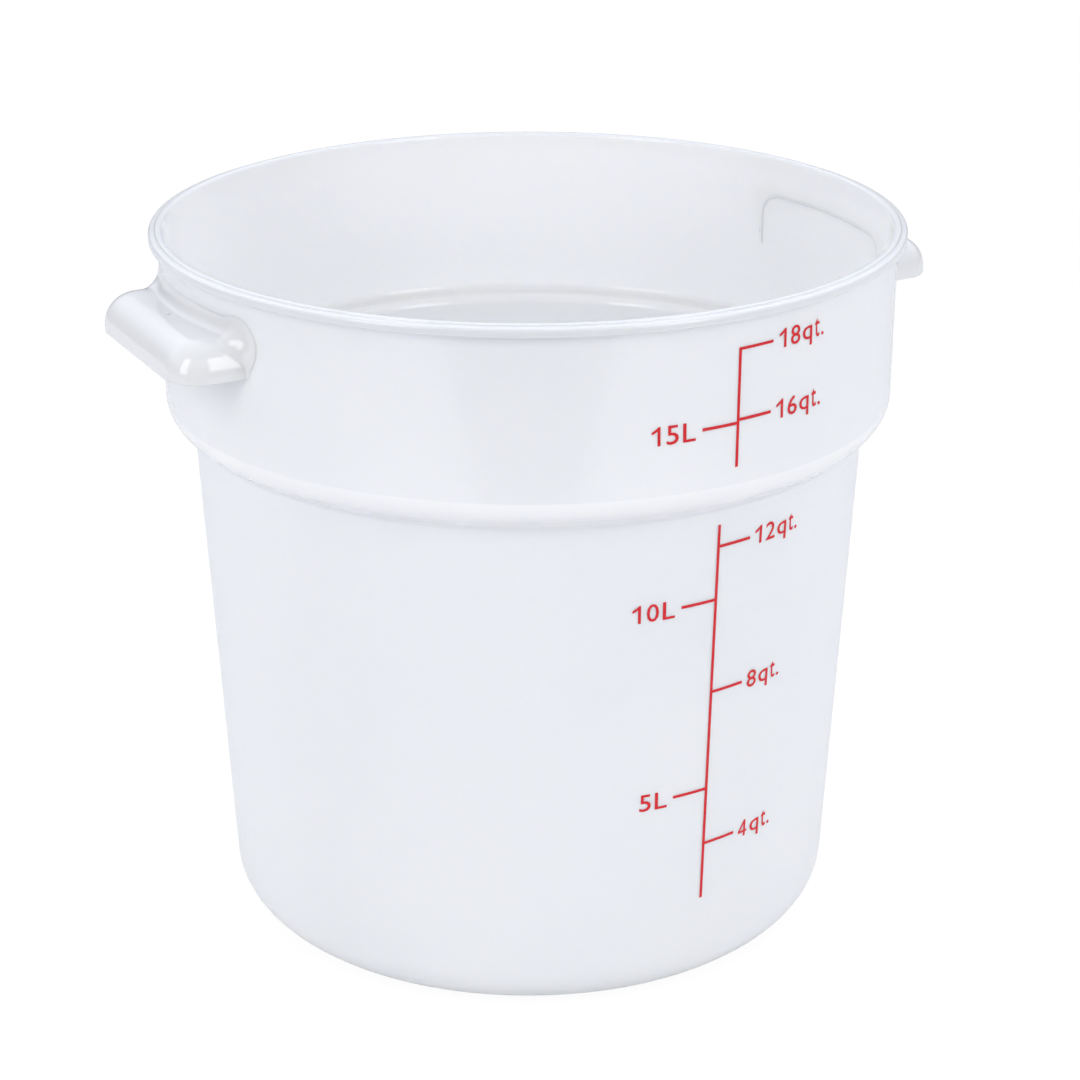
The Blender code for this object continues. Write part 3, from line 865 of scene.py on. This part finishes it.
# %% Softboxes
SOFTBOX_AZIMUTH, SOFTBOX_DISTANCE, SOFTBOX_HEIGHT = radians(43), 1.3, 0.85
SOFTBOX_WIDTH, SOFTBOX_TALL, SOFTBOX_POWER = 0.5, 1.3, 8.3
for side in (-1, 1):
    lamp = bpy.data.lights.new("softbox", "AREA")
    lamp.shape = "RECTANGLE"
    lamp.size = SOFTBOX_WIDTH
    lamp.size_y = SOFTBOX_TALL
    lamp.energy = SOFTBOX_POWER
    softbox = bpy.data.objects.new("softbox", lamp)
    place = in_room(side * SOFTBOX_DISTANCE * sin(SOFTBOX_AZIMUTH), -SOFTBOX_DISTANCE * cos(SOFTBOX_AZIMUTH),
                    SOFTBOX_HEIGHT)
    softbox.location = place
    softbox.rotation_euler = (Vector((0, 0, SOFTBOX_HEIGHT)) - place).to_track_quat("-Z", "Y").to_euler()
    softbox.visible_camera = False
    bpy.context.scene.collection.objects.link(softbox)

# %% [markdown]
# The room is a world whose brightness changes with height, by one ramp in front and another behind. It only
# gives light: the camera sees plain white instead.
# %% The room
ROOM_STRENGTH = 1.6
ROOM_HEIGHTS = (0.15, 0.45, 0.55, 0.85)
ROOM_BLEND = (-0.4, 0.4)
FRONT_LOW, FRONT_HALFWAY, FRONT_HIGH = (0.02, 0.02, 0.02), (0.34, 0.345, 0.36), (0.2, 0.2, 0.2)
BACK_LOW, BACK_HALFWAY, BACK_HIGH = (0.10, 0.10, 0.10), (0.91, 0.925, 1.0), (0.8, 0.82, 0.86)
ROOM_FRONT = (FRONT_LOW, FRONT_HALFWAY, FRONT_HALFWAY, FRONT_HIGH)
ROOM_BACK = (BACK_LOW, BACK_HALFWAY, BACK_HALFWAY, BACK_HIGH)
world = bpy.data.worlds.new("studio")
bpy.context.scene.world = world
world.use_nodes = True
tree = world.node_tree
tree.nodes.clear()
room = tree.nodes.new("ShaderNodeBackground")
room.inputs["Strength"].default_value = ROOM_STRENGTH
direction = tree.nodes.new("ShaderNodeTexCoord")
away = tree.nodes.new("ShaderNodeVectorMath")
away.operation = "DOT_PRODUCT"
away.inputs[1].default_value = in_room(0, 1, 0)
tree.links.new(direction.outputs["Generated"], away.inputs[0])
split = tree.nodes.new("ShaderNodeSeparateXYZ")
tree.links.new(direction.outputs["Generated"], split.inputs["Vector"])
level = tree.nodes.new("ShaderNodeMix")
level.data_type = "RGBA"
tree.links.new(map_range(tree, away.outputs["Value"], 0, 1, *ROOM_BLEND), level.inputs["Factor"])
for name, colours in (("A", ROOM_FRONT), ("B", ROOM_BACK)):
    profile = tree.nodes.new("ShaderNodeValToRGB")
    ramp = profile.color_ramp
    for height in ROOM_HEIGHTS[1:-1]:
        ramp.elements.new(height)
    for element, height, colour in zip(ramp.elements, ROOM_HEIGHTS, colours):
        element.position = height
        element.color = (*colour, 1)
    tree.links.new(split.outputs["Z"], profile.inputs["Fac"])
    tree.links.new(profile.outputs["Color"], level.inputs[name])
tree.links.new(level.outputs["Result"], room.inputs["Color"])

# %% White background for the camera
white = tree.nodes.new("ShaderNodeBackground")
white.inputs["Color"].default_value = (1, 1, 1, 1)
path = tree.nodes.new("ShaderNodeLightPath")
mix = tree.nodes.new("ShaderNodeMixShader")
output = tree.nodes.new("ShaderNodeOutputWorld")
tree.links.new(path.outputs["Is Camera Ray"], mix.inputs["Fac"])
tree.links.new(room.outputs["Background"], mix.inputs[1])
tree.links.new(white.outputs["Background"], mix.inputs[2])
tree.links.new(mix.outputs["Shader"], output.inputs["Surface"])
bpy.context.scene.view_settings.view_transform = "Standard"
